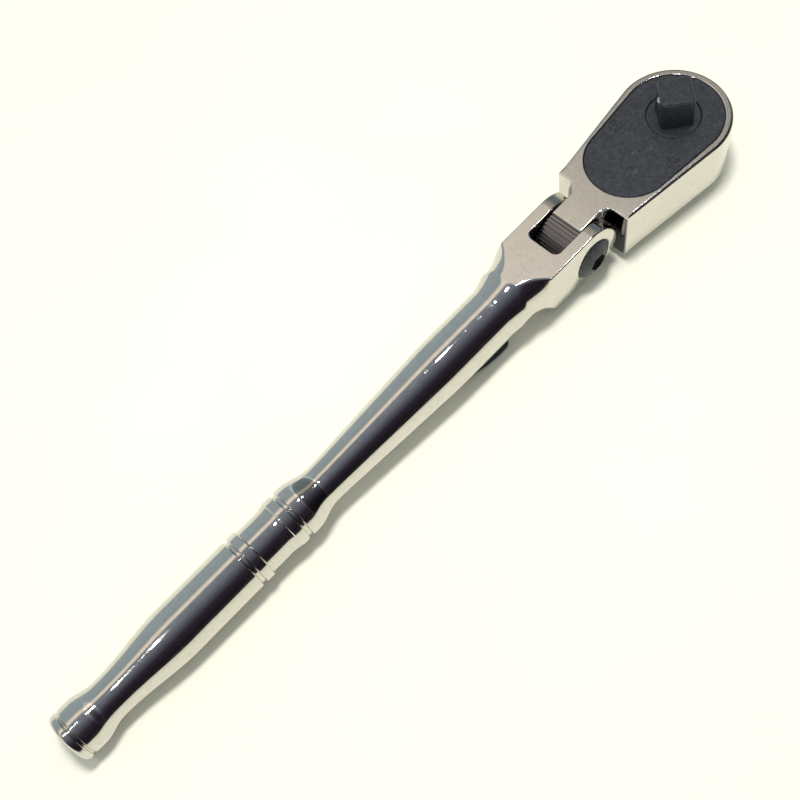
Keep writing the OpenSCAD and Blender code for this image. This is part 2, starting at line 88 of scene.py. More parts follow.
# Handle: radii, and where along X its grooves, waists and flare start and end
BUTT_R, WAIST_R, GRIP_R, NECK_R = 7.4, 5.95, 7.85, 8.25
BUTT_GROOVE = (BUTT_X + 2.2, BUTT_X + 3.4)
BUTT_WAIST = (BUTT_X + 6.2, BUTT_X + 13.6)
GRIP_SWELL = (BUTT_X + 14.6, BUTT_X + 38)
REAR_GROOVE = (-176.0, -174.4)
BAND = (-171.9, -161.5)
FRONT_GROOVE = (-158.9, -157.3)
FRONT_WAIST = (-155.6, -146.4)
TAPER = (-144.4, -101.0)
GROOVE_DEPTH = 0.6
FLARE_SLOPE, FLARE_RUN = 0.42, 5.0
FLARE_END = HINGE_X - 25.7
FILLET_X = HINGE_X - 25.2
FILLET_R, FILLET_RISE, FILLET_IN = 11.7, 1.5, NECK_R + 0.7

# Clevis and what it holds
CLEVIS_HALF = 9.9        # half its height, and the radius of its ears about the hinge
CLEVIS_SIDE = 10.15      # half its width at mid-height
CROWN_R = 60.0           # of its crowned sides
SLOT_HALF, SLOT_CORNER_R = 5.45, 2.0
SLOT_REAR = HINGE_X - 10.5
HINGE_SEAT_Y = 9.75
HINGE_HEAD_R, BARREL_R, THREAD_R = 6.4, 4.0, 2.5
PLUNGER_BORE_R, PLUNGER_BORE_END = 3.85, -104.5
TRIGGER_HALF, TRIGGER_SLOT = 3.8, (-97.2, -76.2)
TRIGGER_PIN_R = 1.0

# Head
TANG_HALF = 5.2
SHOULDER_X, SHOULDER_HALF = -35.9, 12.5
NOTCH_PITCH = math.radians(7.5)
KNUCKLE_TIP_R, KNUCKLE_ROOT_R = 9.0, 8.5
PLATE_R, PLATE_REAR_R, PLATE_REAR_X = 14.5, 12.7, -19.95
PLATE_Z = HEAD_HALF - 2.2
COVER_SCREWS = (-13.2, 10.6)
FLOOR_Z = -5.8
PAWL_PIN_R = 1.6

# Drive
GEAR_TEETH, GEAR_R, GEAR_DEPTH = 72, 11.2, 0.5
JOURNAL_R = 7.0
COLLAR_R, COLLAR_TOP = 7.9, 9.1
SQUARE_HALF = 9.525 / 2
SQUARE_TURN = math.radians(-39.7)
BALL_R, BALL_Z = 1.55, SQUARE_TOP - 3.4

# Reverse lever
LEVER_TURN = math.radians(30)
LEVER_TOP = -HEAD_HALF - 0.15
LEVER_HUB_R, LEVER_HUB_T, LEVER_ARM_T = 6.2, 2.85, 2.2
SHAFT_R = 3.4


# ---- Fields: negative inside, in millimetres ----

def both(a, b, r=0.0):
    """What a and b share, with the edge between them rounded to radius r."""
    return np.minimum(np.maximum(a, b), -r) + np.hypot(np.maximum(a + r, 0), np.maximum(b + r, 0))


def joined(a, b, r=0.0):
    """a and b together, with a fillet of radius r between them."""
    return -both(-a, -b, r)


def cut(a, b, r=0.0):
    """a with b taken out of it, with the rim rounded to radius r."""
    return both(a, -b, r)


def ease(t):
    """0 to 1, smoothly, as t goes from 0 to 1."""
    return (1 - np.cos(np.pi * np.clip(t, 0, 1))) / 2


def step(x, x0, x1):
    return ease((x - x0) / (x1 - x0))


def between(w, low, high):
    return np.maximum(low - w, w - high)


def rectangle(u, v, half_u, half_v, r):
    """Rectangle about the origin of the plane u, v with corners of radius r."""
    a, b = np.abs(u) - half_u + r, np.abs(v) - half_v + r
    return np.minimum(np.maximum(a, b), 0) + np.hypot(np.maximum(a, 0), np.maximum(b, 0)) - r


def hexagon(u, v, r):
    """Regular hexagon with its corners at radius r."""
    u, v = np.abs(u), np.abs(v)
    return np.maximum(v, u * math.sin(math.radians(60)) + v * 0.5) - r * math.cos(math.radians(30))


def tapered(x, y, r, slope):
    """Round end of radius r at the origin whose sides run back along -X, closing by slope."""
    along, across = -x, np.abs(y)
    c = math.sqrt(1 - slope * slope)
    side = across * c + along * slope - r
    return np.where(along * c - across * slope < 0, np.hypot(x, y) - r, side)


def outline(points, u, v):
    """Closed polygon in the plane u, v."""
    best = np.full(u.shape, np.inf)
    inside = np.zeros(u.shape, bool)
    for (au, av), (bu, bv) in zip(points, points[1:] + points[:1]):
        eu, ev = bu - au, bv - av
        t = np.clip(((u - au) * eu + (v - av) * ev) / (eu * eu + ev * ev), 0, 1)
        best = np.minimum(best, np.hypot(u - au - t * eu, v - av - t * ev))
        crosses = (av > v) != (bv > v)
        if av != bv:
            inside ^= crosses & (u < au + (v - av) * eu / ev)
    return np.where(inside, -best, best)


def turned(x, y, angle, x0=0.0):
    """The plane's coordinates in axes turned by angle about (x0, 0)."""
    c, s = math.cos(angle), math.sin(angle)
    return (x - x0) * c + y * s, -(x - x0) * s + y * c


# ---- Handle ----

def groove(x, x0, x1, wall=0.4):
    """1 along a groove from x0 to x1, with sloping walls, and 0 outside it."""
    return step(x, x0, x0 + wall) * (1 - step(x, x1 - wall, x1))


def soft_ramp(t, soft=2.2):
    """0 below t = 0 and t above it, with the corner between them softened."""
    return (t + np.sqrt(t * t + soft * soft)) / 2


def handle_radius(x):
    """Radius of the turned handle along X."""
    swell = GRIP_R - WAIST_R
    r = BUTT_R + (WAIST_R - BUTT_R) * step(x, *BUTT_WAIST)
    r += swell * (step(x, *GRIP_SWELL) - step(x, *FRONT_WAIST))
    r -= 0.5 * groove(x, *BUTT_GROOVE, 0.5)
    r -= GROOVE_DEPTH * (groove(x, *REAR_GROOVE) + groove(x, *FRONT_GROOVE))
    # sunk band between the two rings, which rises towards the front one
    rise = 0.35 * step(x, BAND[1] - 2.9, BAND[1] - 0.2)
    r -= (GROOVE_DEPTH - rise) * groove(x, *BAND, 0.3)
    # taper up to the neck
    taper = (NECK_R - WAIST_R) / (TAPER[1] - TAPER[0])
    r += taper * (soft_ramp(x - TAPER[0]) - soft_ramp(x - TAPER[1]))
    # flare into the clevis: an arc, then a straight run
    straight = (CLEVIS_HALF - NECK_R - FLARE_SLOPE * FLARE_RUN / 2) / FLARE_SLOPE
    start = FLARE_END - straight - FLARE_RUN
    t = np.clip(x - start, 0, FLARE_RUN)
    return r + FLARE_SLOPE * (t * t / (2 * FLARE_RUN) + np.maximum(x - start - FLARE_RUN, 0))


def flare_fillet(x, y, z):
    """Room round the sides and underside, where they flare steeply into the clevis."""
    along, out = x - FILLET_X, np.hypot(y, z - FILLET_RISE) - FILLET_IN
    ramp_start, ramp_slope = 7.8, 0.0467
    ramp = np.maximum(-along - ramp_start, 0) * ramp_slope
    return np.where(along > 0, np.hypot(along, out - FILLET_R) - FILLET_R, ramp - out)


def handle(x, y, z):
    edge = 0.35
    to_hinge = np.maximum(x - HINGE_X, 0)
    solid = both(np.hypot(y, z) - handle_radius(x), BUTT_X - x, 1.3)
    solid = cut(solid, flare_fillet(x, y, z), 0.2)
    solid = both(solid, np.hypot(to_hinge, z) - CLEVIS_HALF, edge)
    solid = both(solid, np.hypot(np.abs(y) + CROWN_R - CLEVIS_SIDE, z) - CROWN_R, edge)
    far = 40
    slot = rectangle(x - SLOT_REAR - far, y, far, SLOT_HALF, SLOT_CORNER_R)
    solid = cut(solid, slot, 0.3)
    around_hinge = np.hypot(x - HINGE_X, z)
    solid = cut(solid, around_hinge - BARREL_R - 0.02, 0.1)
    seat = np.maximum(around_hinge - HINGE_HEAD_R - 0.2, HINGE_SEAT_Y - np.abs(y))
    solid = cut(solid, seat, 0.12)
    bore = np.maximum(np.hypot(y, z) - PLUNGER_BORE_R, PLUNGER_BORE_END - x)
    solid = cut(solid, bore, 0.1)
    rear, front = TRIGGER_SLOT
    opening = rectangle(x - (rear + front) / 2, y, (front - rear) / 2, TRIGGER_HALF + 0.2, 1.2)
    solid = cut(solid, np.maximum(opening, z), 0.25)
    return cut(solid, np.hypot(x - TRIGGER_X, z - TRIGGER_Z) - TRIGGER_PIN_R - 0.02, 0.05)


# ---- Hinge fastener ----

def domed_head(x, y, z):
    """Black domed head on the seat of the ear at +Y, with a hex socket."""
    rim, dome, socket_r, socket_floor = 0.4, 2.1, 2.9, 0.6
    dome_r = (HINGE_HEAD_R ** 2 + dome ** 2) / (2 * dome)
    up = y - HINGE_SEAT_Y
    around = np.hypot(x - HINGE_X, z)
    head = both(around - HINGE_HEAD_R, np.hypot(around, up - rim - dome + dome_r) - dome_r, 0.15)
    head = np.maximum(head, -up)
    socket = np.maximum(hexagon(x - HINGE_X, z, socket_r), socket_floor - up)
    return cut(head, socket, 0.15)


def hinge_nut(x, y, z):
    around = np.hypot(x - HINGE_X, z)
    thread_end = 7.0
    barrel = both(around - BARREL_R, between(y, 0.8 - HINGE_SEAT_Y, HINGE_SEAT_Y + 0.3), 0.2)
    barrel = np.minimum(domed_head(x, y, z), barrel)
    return cut(barrel, np.maximum(around - THREAD_R - 0.03, y - thread_end), 0.1)


def hinge_screw(x, y, z):
    around = np.hypot(x - HINGE_X, z)
    shank_end = 6.0
    shank = both(around - THREAD_R, between(-y, -shank_end, HINGE_SEAT_Y + 0.3), 0.3)
    return np.minimum(domed_head(x, -y, z), shank)


# ---- Trigger ----

def trigger(x, y, z):
    dx, dz = x - TRIGGER_X, z - TRIGGER_Z
    # bent finger pad, wider than the slot
    low_x, low_z, half, thick = -82.0, -10.8, 6.2, 1.0
    bend_r, bow_r, middle_x, end_r = 45, 70, -86.8, 9.8
    bend = np.hypot(x - low_x, z - low_z - bend_r)
    bowed = np.hypot(x - low_x, np.abs(y) + bow_r - half) - bow_r
    plan = both(bowed, np.hypot(x - middle_x, y) - end_r, 1.0)
    pad = both(both(plan, bend - bend_r, 0.4), bend_r - thick - bend, 0.3)
    # body in the slot, with its boss and the arm that draws the plunger back
    side = [(-6, -9), (11.4, -9), (11.8, -1.6), (3.3, -0.6), (1.8, 0.8), (-1.8, 0.8),
            (-3.4, -0.2), (-6, -1.6)]
    sides = np.abs(y) - TRIGGER_HALF
    web = both(both(outline(side, dx, dz), bend - bend_r + 0.5, 0.3), sides, 0.35)
    pin = np.hypot(dx, dz)
    boss = both(pin - 1.9, sides, 0.2)
    arm_sides = np.abs(y) - 1.5
    arm = both(rectangle(dx, dz - 3, 0.8, 2.6, 0.1), arm_sides, 0.2)
    end = both(np.hypot(dx, z) - 1.3, arm_sides, 0.2)
    solid = joined(joined(pad, web, 0.5), boss, 0.3)
    solid = joined(solid, np.minimum(arm, end), 0.3)
    return cut(solid, pin - TRIGGER_PIN_R - 0.05, 0.1)


# ---- Head ----

def side_slope():
    """Sine of the angle by which the head's sides close towards the shoulder."""
    reach = math.hypot(SHOULDER_X, SHOULDER_HALF)
    return math.sin(math.atan2(-SHOULDER_X, SHOULDER_HALF) - math.acos(TIP_R / reach))


SIDE_SLOPE = side_slope()
PLATE_SLOPE = (PLATE_R - PLATE_REAR_R) / -PLATE_REAR_X


def plate_plan(x, y, gap=0.0):
    """Tear-drop outline of the cover plate, grown by gap."""
    front = tapered(x, y, PLATE_R + gap, PLATE_SLOPE)
    rear = np.hypot(x - PLATE_REAR_X, y) - PLATE_REAR_R - gap
    c = math.sqrt(1 - PLATE_SLOPE ** 2)
    past_rear = -x * c - np.abs(y) * PLATE_SLOPE > -PLATE_REAR_X * c
    return np.where(past_rear, rear, front)


def cover_screw_distance(x, y):
    return np.hypot(x - COVER_SCREWS[0], np.abs(y) - COVER_SCREWS[1])


def knuckle(x, z):
    """Toothed round end of the tang, with a notch at every NOTCH_PITCH."""
    turn = np.arctan2(z, x - HINGE_X) / NOTCH_PITCH
    off_tip = np.abs(turn - np.round(turn))
    depth = (KNUCKLE_TIP_R - KNUCKLE_ROOT_R) * step(off_tip, 0.15, 0.36)
    return np.hypot(x - HINGE_X, z) - (KNUCKLE_TIP_R - depth)


def head_housing(x, y, z):
    plan = both(tapered(x, y, TIP_R, SIDE_SLOPE), SHOULDER_X - x, 0.35)
    tang_end = -30
    tang = np.maximum(np.abs(y) - TANG_HALF, between(x, HINGE_X, tang_end))
    edge = 0.3 + 0.65 * step(x, SHOULDER_X - 0.5, SHOULDER_X + 3)
    solid = both(joined(plan, tang, 3.0), np.abs(z) - HEAD_HALF, edge)
    teeth = both(np.maximum(knuckle(x, z), x - HINGE_X - 2), np.abs(y) - TANG_HALF, 0.2)
    solid = np.minimum(solid, teeth)
    around_hinge = np.hypot(x - HINGE_X, z)
    ear_room = np.maximum(around_hinge - CLEVIS_HALF - 0.55, TANG_HALF - np.abs(y))
    solid = cut(solid, ear_room, 0.2)
    solid = cut(solid, around_hinge - BARREL_R - 0.05, 0.1)
    solid = cut(solid, np.maximum(plate_plan(x, y, 0.08), PLATE_Z - z), 0.3)
    return cut_inside(solid, x, y, z)


def cut_inside(solid, x, y, z):
    """The head with its cavity and the bores in the cavity's floor taken out."""
    off_drive, off_pawl = np.hypot(x, y), np.hypot(x - PAWL_X, y)
    off_lever = np.hypot(x - LEVER_X, y)
    # rooms for the gear, the pawl, the lever's shaft, and between the pawl and the shaft
    cavity = np.minimum(off_drive - GEAR_R - 0.5, rectangle(x + 15.25, y, 7.25, 8.3, 0.3))
    cavity = np.minimum(cavity, off_lever - 5.3)
    cavity = np.minimum(cavity, rectangle(x + 24, y, 3, 5, 0.1))
    solid = cut(solid, np.maximum(cavity, FLOOR_Z - z), 0.15)
    solid = cut(solid, np.maximum(off_drive - JOURNAL_R - 0.05, between(z, -8.1, 0)), 0.1)
    solid = cut(solid, np.maximum(off_pawl - PAWL_PIN_R - 0.02, between(z, -8.2, 0)), 0.05)
    solid = cut(solid, np.maximum(off_lever - SHAFT_R - 0.05, z), 0.1)
    # groove for the seal round the lever's shaft
    solid = cut(solid, np.maximum(off_lever - 4.9, between(z, -8.6, -7.3)), 0.05)
    return cut(solid, np.maximum(cover_screw_distance(x, y) - 1.02, -2 - z), 0.05)


def cover_plate(x, y, z):
    solid = both(plate_plan(x, y), between(z, PLATE_Z + 0.02, HEAD_HALF), 0.3)
    solid = cut(solid, np.hypot(x, y) - COLLAR_R - 0.05, 0.25)
    screw = cover_screw_distance(x, y)
    solid = cut(solid, screw - 1.1, 0.05)
    solid = cut(solid, np.maximum(screw - 1.7, HEAD_HALF - 1.1 - z), 0.04)
    pin = np.hypot(x - PAWL_X, y) - PAWL_PIN_R - 0.03
    return cut(solid, np.maximum(pin, z - PLATE_Z - 1.1), 0.05)


def cover_screws(x, y, z):
    off = cover_screw_distance(x, y)
    head = both(off - 1.68, between(z, HEAD_HALF - 1.08, HEAD_HALF - 0.01), 0.03)
    shank = both(off - 0.98, between(z, -1.5, HEAD_HALF - 0.9), 0.2)
    socket = hexagon(x - COVER_SCREWS[0], np.abs(y) - COVER_SCREWS[1], 0.75)
    return cut(np.minimum(head, shank), np.maximum(socket, HEAD_HALF - 0.3 - z), 0.08)


# ---- Drive ----

def gear_teeth(x, y):
    """Flat-topped teeth, one centred on +X."""
    turn = np.arctan2(y, x) * GEAR_TEETH / (2 * math.pi)
    off_tip = np.abs(turn - np.round(turn))
    return np.hypot(x, y) - (GEAR_R - GEAR_DEPTH * np.clip((off_tip - 0.12) / 0.38, 0, 1))


def drive_gear(x, y, z):
    off = np.hypot(x, y)
    u, v = turned(x, y, SQUARE_TURN)
    square = both(rectangle(u, v, SQUARE_HALF, SQUARE_HALF, 0.35), off - 6.25, 0.4)
    square = both(square, between(z, 0, SQUARE_TOP), 0.75)
    collar = both(off - COLLAR_R, between(z, 0, COLLAR_TOP), 0.45)
    gear = both(gear_teeth(x, y), between(z, -5.6, 5.0), 0.12)
    journal = both(off - JOURNAL_R, between(z, -8.0, -4.0), 0.3)
    solid = np.minimum(joined(square, collar, 0.35), np.minimum(gear, journal))
    across, side = turned(x, y, SQUARE_TURN + math.pi)
    bore = np.maximum(np.hypot(side, z - BALL_Z) - BALL_R - 0.05, -2.6 - across)
    return cut(solid, bore, 0.12)


def detent_ball(x, y, z):
    u, v = turned(x, y, SQUARE_TURN + math.pi)
    proud = 0.5
    u = u - SQUARE_HALF - proud + BALL_R
    return np.sqrt(u ** 2 + v ** 2 + (z - BALL_Z) ** 2) - BALL_R


# ---- Reverse lever ----

def reverse_lever(x, y, z):
    u, v = turned(x, y, LEVER_TURN, LEVER_X)
    off = np.hypot(u, v)
    end_x, end_r, root_half = 11.8, 3.2, 4.8
    arm_low, hub_low = LEVER_TOP - LEVER_ARM_T, LEVER_TOP - LEVER_HUB_T
    sides = outline([(0, -root_half), (end_x, 0.1 - end_r), (end_x, end_r - 0.1), (0, root_half)],
                    u, v)
    plan = np.minimum(sides, np.hypot(u - end_x, v) - end_r)
    arm = both(plan, between(z, arm_low, LEVER_TOP), 0.6)
    hub = both(off - LEVER_HUB_R, between(z, hub_low, LEVER_TOP), 0.6)
    rib = both(np.hypot(u - end_x + 1, v) - 1.9, between(z, arm_low - 0.5, LEVER_TOP - 1), 0.4)
    # the fillets would bulge below the hub's flat face, so they end at it
    blade = np.maximum(joined(joined(hub, arm, 1.2), rib, 0.5), hub_low - z)
    shaft = both(off - SHAFT_R, between(z, LEVER_TOP - 0.5, 5.8), 0.2)
    solid = np.minimum(blade, shaft)
    # groove for the clip, and the bore for the spring and the plunger
    clip_groove = np.maximum(2.9 - off, between(z, FLOOR_Z + 0.15, FLOOR_Z + 0.85))
    solid = cut(solid, clip_groove, 0.05)
    return cut(solid, np.maximum(np.hypot(v, z) - 1.35, -2.4 - u), 0.08)


# ---- Meshing ----

MARGIN = 0.6             # by which a grid reaches past its piece


def spaced(*runs):
    """Grid positions from runs of (end, spacing); the first entry is the start."""
    values = [np.array([runs[0]])]
    for end, spacing in runs[1:]:
        start = values[-1][-1]
        n = max(1, round((end - start) / spacing))
        values.append(start + (end - start) * np.arange(1, n + 1) / n)
    return np.concatenate(values)


def gradient(field, p, h=0.002):
    """Slope of the field at each point, from differences over h to either side."""
    g = np.empty_like(p)
    for k in range(3):
        offset = np.zeros(3)
        offset[k] = h
        g[:, k] = (field(*(p + offset).T) - field(*(p - offset).T)) / (2 * h)
    return g


def onto_surface(field, p, passes=2):
    """Points moved along the field's slope to where it is zero, by at most 0.2 a pass."""
    for _ in range(passes):
        g = gradient(field, p)
        move = (field(*p.T) / np.maximum((g * g).sum(1), 1e-6))[:, None] * g
        length = np.linalg.norm(move, axis=1, keepdims=True)
        p = p - move * np.minimum(1, 0.2 / np.maximum(length, 1e-9))
    return p


def grid_surface(field, axes):
    """Points near the surface, one in each grid cell it crosses, and the quads between them."""
    d = field(*np.meshgrid(*axes, indexing="ij"))
    inside = d < 0
    corners = sum(inside[i:i - 1 or None, j:j - 1 or None, k:k - 1 or None].astype(np.int8)
                  for i in (0, 1) for j in (0, 1) for k in (0, 1))
    crossed = (corners > 0) & (corners < 8)
    number = np.full(crossed.shape, -1)
    number[crossed] = np.arange(crossed.sum())
    cells = np.argwhere(crossed)
    total, hits = np.zeros(cells.shape), np.zeros(len(cells))
    for k in range(3):
        for offset in [(0, 0), (0, 1), (1, 0), (1, 1)]:
            a = cells + np.insert(offset, k, 0)
            b = cells + np.insert(offset, k, 1)
            da, db = d[tuple(a.T)], d[tuple(b.T)]
            hit = (da < 0) != (db < 0)
            t = np.where(hit, da / np.where(hit, da - db, 1), 0)[:, None]
            pa = np.stack([axes[m][a[:, m]] for m in range(3)], 1)
            pb = np.stack([axes[m][b[:, m]] for m in range(3)], 1)
            total += hit[:, None] * (pa + t * (pb - pa))
            hits += hit
    quads = []
    for k in range(3):
        u, v = (k + 1) % 3, (k + 2) % 3
        low = inside.take(range(inside.shape[k] - 1), k)
        high = inside.take(range(1, inside.shape[k]), k)
        edges = np.argwhere(low != high)
        around = []
        for du, dv in [(1, 1), (0, 1), (0, 0), (1, 0)]:
            cell = edges.copy()
            cell[:, u] -= du
            cell[:, v] -= dv
            around.append(number[tuple(cell.T)])
        ring = np.stack(around, 1)
        outward = low[tuple(edges.T)]
        quads.append(np.where(outward[:, None], ring, ring[:, ::-1]))
    return total / hits[:, None], np.concatenate(quads)


def relaxed(p, quads):
    """Each point moved to the mean of its neighbours."""
    a, b = quads.ravel(), np.roll(quads, -1, axis=1).ravel()
    total, count = np.zeros(p.shape), np.zeros(len(p))
    for i, j in ((a, b), (b, a)):
        for k in range(3):
            total[:, k] += np.bincount(i, p[j, k], len(p))
        count += np.bincount(i, minlength=len(p))
    return total / count[:, None]


def solid_piece(name, field, body, axes, slot):
    """Meshes a field as the piece that stands for the CAD node of that name."""
    points, quads = grid_surface(field, axes)
    points = onto_surface(field, points)
    for _ in range(2):
        points = onto_surface(field, relaxed(points, quads))
    points = onto_surface(field, points)
    normals = gradient(field, points, 0.004)
    normals /= np.maximum(np.linalg.norm(normals, axis=1, keepdims=True), 1e-9)
    mesh = bpy.data.meshes.new(name)
    mesh.from_pydata((points * MM).tolist(), [], quads.tolist())
    mesh.polygons.foreach_set("use_smooth", [True] * len(quads))
    mesh.normals_split_custom_set_from_vertices(normals.tolist())
    piece = bpy.data.objects.new(name + "_skin", mesh)
    bpy.context.scene.collection.objects.link(piece)
    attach(piece, body)
    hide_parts(name)
    finish_with(piece, slot)


def node_axes(node, spacing):
    """Even grid over a node's box, with a margin."""
    low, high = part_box(node)
    return [spaced(a - MARGIN, (b + MARGIN, spacing)) for a, b in zip(low / MM, high / MM)]


# ---- Materials ----

class Nodes:
    """Short way to write a node tree: every call adds a node and returns its output."""

    def __init__(self, tree):
        self.tree = tree
        tree.nodes.clear()

    def add(self, kind, inputs=(), out=0, **settings):
        node = self.tree.nodes.new(kind)
        for key, value in settings.items():
            setattr(node, key, value)
        for key, value in dict(inputs).items():
            if isinstance(value, bpy.types.NodeSocket):
                self.tree.links.new(value, node.inputs[key])
            else:
                node.inputs[key].default_value = value
        return node.outputs[out]

    def math(self, operation, a, b=0.0, c=0.0, clamp=False):
        return self.add("ShaderNodeMath", {0: a, 1: b, 2: c}, operation=operation, use_clamp=clamp)

    def position(self, scale):
        """Object coordinates in millimetres times scale, a number or (x, y, z)."""
        if not isinstance(scale, tuple):
            scale = (scale, scale, scale)
        place = self.add("ShaderNodeTexCoord", out=3)
        return self.add("ShaderNodeMapping", {0: place, 3: [s / MM for s in scale]})

    def noise(self, scale, detail=3.0, rough=0.5):
        return self.add("ShaderNodeTexNoise", {"Vector": self.position(scale), "Scale": 1.0,
                                               "Detail": detail, "Roughness": rough})

    def split(self, vector):
        """The x, y and z of a vector."""
        return self.add("ShaderNodeSeparateXYZ", {0: vector}).node.outputs[:3]

    def ramp(self, value, stops):
        """Colour ramp from (position, colour or grey) stops."""
        socket = self.add("ShaderNodeValToRGB", {0: value})
        ramp = socket.node.color_ramp
        while len(ramp.elements) < len(stops):
            ramp.elements.new(0.5)
        for element, (at, color) in zip(ramp.elements, stops):
            element.position = at
            shade = color if isinstance(color, tuple) else (color, color, color)
            element.color = (*shade, 1)
        return socket

    def scratches(self, scale, along, width=0.02):
        """Thin lines: the zero crossings of a noise stretched along one axis."""
        stretched = tuple(scale * (0.06 if k == along else 1.0) for k in range(3))
        wave = self.noise(stretched, 2.0, 0.6)
        off = self.math("ABSOLUTE", self.math("SUBTRACT", wave, 0.5))
        return self.math("SUBTRACT", 1.0, self.math("DIVIDE", off, width, clamp=True))

    def surface(self, color, metallic, rough, height, bump_mm):
        """Finishes a material whose height map rises by bump_mm."""
        bump = self.add("ShaderNodeBump",
                        {"Height": height, "Distance": bump_mm * MM, "Strength": 1.0})
        shader = self.add("ShaderNodeBsdfPrincipled", {
            "Base Color": color, "Metallic": metallic, "Roughness": rough, "Normal": bump})
        self.add_output(shader)

    def add_output(self, shader, kind="ShaderNodeOutputMaterial"):
        output = self.tree.nodes.new(kind)
        self.tree.links.new(shader, output.inputs[0])


def material(name):
    made = bpy.data.materials.new(name)
    made.use_nodes = True
    return made, Nodes(made.node_tree)


def flatness(n):
    """1 on the milled top and bottom faces of the clevis and the head, else 0."""
    facing = n.add("ShaderNodeTexCoord", out=1)
    z = n.split(facing)[2]
    flat = n.math("MULTIPLY", n.math("SUBTRACT", n.math("ABSOLUTE", z), 0.985), 80.0, clamp=True)
    height = n.split(n.position(1.0))[2]
    milled = n.math("GREATER_THAN", n.math("ABSOLUTE", height), HEAD_HALF - 0.1)
    return n.math("MULTIPLY", flat, milled)


def knuckle_steel_and_painted_shade(n):
    """1 on the toothed knuckle, whose cut teeth are dull bare steel, and on the hollow in front of
    the ears, where the chrome is darkened as painted shade.
    """
    place = n.add("ShaderNodeVectorMath", {0: n.position(1.0), 1: (-HINGE_X, 0, 0)})
    x, y, z = n.split(place)
    around = n.math("SQRT", n.math("ADD", n.math("MULTIPLY", x, x), n.math("MULTIPLY", z, z)))
    knuckle_part = n.math("MULTIPLY", n.math("LESS_THAN", around, KNUCKLE_TIP_R + 0.15),
                          n.math("LESS_THAN", n.math("ABSOLUTE", y), SLOT_HALF + 0.1))
    hollow = n.math("GREATER_THAN", around, CLEVIS_HALF + 0.2)
    for inside in (n.math("GREATER_THAN", x, 0.0),
                   n.math("LESS_THAN", x, SHOULDER_X - HINGE_X + 0.3),
                   n.math("LESS_THAN", n.math("ABSOLUTE", z), HEAD_HALF - 0.4),
                   n.math("LESS_THAN", y, 8.0)):
        hollow = n.math("MULTIPLY", hollow, inside)
    return n.math("MAXIMUM", knuckle_part, hollow)


def chrome():
    """Polished plate, satin on the flat faces, with fine scratches and handling marks; the
    knuckle's cut teeth are dull bare steel, and the hollow in front of the ears is darkened with
    painted shade.
    """
    made, n = material("chrome_plate")
    marks = n.math("MAXIMUM", n.scratches(1.3, 1, 0.012), n.scratches(0.9, 0, 0.010))
    patchy = n.noise(0.22, 4.0)
    marks = n.math("MULTIPLY", marks, n.math("GREATER_THAN", patchy, 0.5))
    cloud = n.noise(0.6, 5.0, 0.65)
    rough = n.math("MULTIPLY_ADD", cloud, 0.05, 0.02)
    rough = n.math("MULTIPLY_ADD", marks, 0.16, rough)
    rough = n.math("MULTIPLY_ADD", flatness(n), 0.20, rough)
    plate = n.ramp(cloud, [(0.3, (0.62, 0.60, 0.55)), (0.7, (0.70, 0.675, 0.62))])
    # dark grey: the bare steel of the knuckle's teeth, and painted shade in the hollow in front of
    # the ears, standing for the shade that falls in that recess
    color = n.add("ShaderNodeMix", {0: knuckle_steel_and_painted_shade(n), 6: plate, 7: (0.22, 0.215, 0.225, 1)},
                  out=2, data_type="RGBA")
    height = n.math("MULTIPLY_ADD", marks, -0.6, n.noise(2.5, 3.0))
    n.surface(color, 1.0, rough, height, 0.0016)
    return made


def black_oxide():
    """Dark oxide on steel: mottled, with fine bright scratches and a soft sheen."""
    tint = (0.030, 0.032, 0.038)
    made, n = material("black_oxide")
    mottle = n.noise(0.9, 6.0, 0.7)
    fine = n.noise(9.0, 3.0)
    patchy = n.math("GREATER_THAN", n.noise(0.35), 0.52)
    marks = n.math("MULTIPLY", n.scratches(0.8, 0, 0.008), patchy)
    shade = n.math("MULTIPLY_ADD", marks, 0.35, mottle, clamp=True)
    light = tuple(2.1 * c for c in tint)
    bright = tuple(5.0 * c for c in tint)
    color = n.ramp(shade, [(0.3, tint), (0.62, light), (0.95, bright)])
    roughness = n.math("MULTIPLY_ADD", mottle, 0.22, 0.32)
    height = n.math("ADD", n.math("MULTIPLY", fine, 0.5), n.math("MULTIPLY", mottle, 0.5))
    n.surface(color, 0.55, roughness, height, 0.012)
    return made


def ground_metal(name, tint, along=0):
    """Ground metal with its grinding lines along one axis."""
    made, n = material(name)
    lines = n.noise(tuple(0.6 if k == along else 9.0 for k in range(3)), 4.0, 0.7)
    cloud = n.noise(0.5, 3.0)
    dark = tuple(0.75 * c for c in tint)
    color = n.ramp(lines, [(0.3, dark), (0.7, tint)])
    rough = n.math("MULTIPLY_ADD", cloud, 0.15, n.math("MULTIPLY_ADD", lines, 0.12, 0.14))
    n.surface(color, 1.0, rough, lines, 0.004)
    return made


def rubber():
    """Black seal rubber with a fine grain."""
    made, n = material("nitrile_rubber")
    grain = n.noise(6.0, 5.0, 0.6)
    color = n.ramp(grain, [(0.3, (0.012, 0.012, 0.012)), (0.7, (0.030, 0.029, 0.028))])
    rough = n.math("MULTIPLY_ADD", grain, 0.2, 0.6)
    n.surface(color, 0.0, rough, grain, 0.02)
    return made


MATERIALS = {
    "chrome": chrome(),
    "black_oxide": black_oxide(),
    "bright_steel": ground_metal("bright_steel", (0.50, 0.51, 0.53)),
    "spring_steel": ground_metal("spring_steel", (0.40, 0.41, 0.44), along=2),
    "bronze": ground_metal("bronze_shim", (0.55, 0.36, 0.17)),
    "rubber": rubber(),
}


def finish_with(obj, slot):
    obj.data.materials.clear()
    obj.data.materials.append(MATERIALS[slot])


# ---- Pieces ----

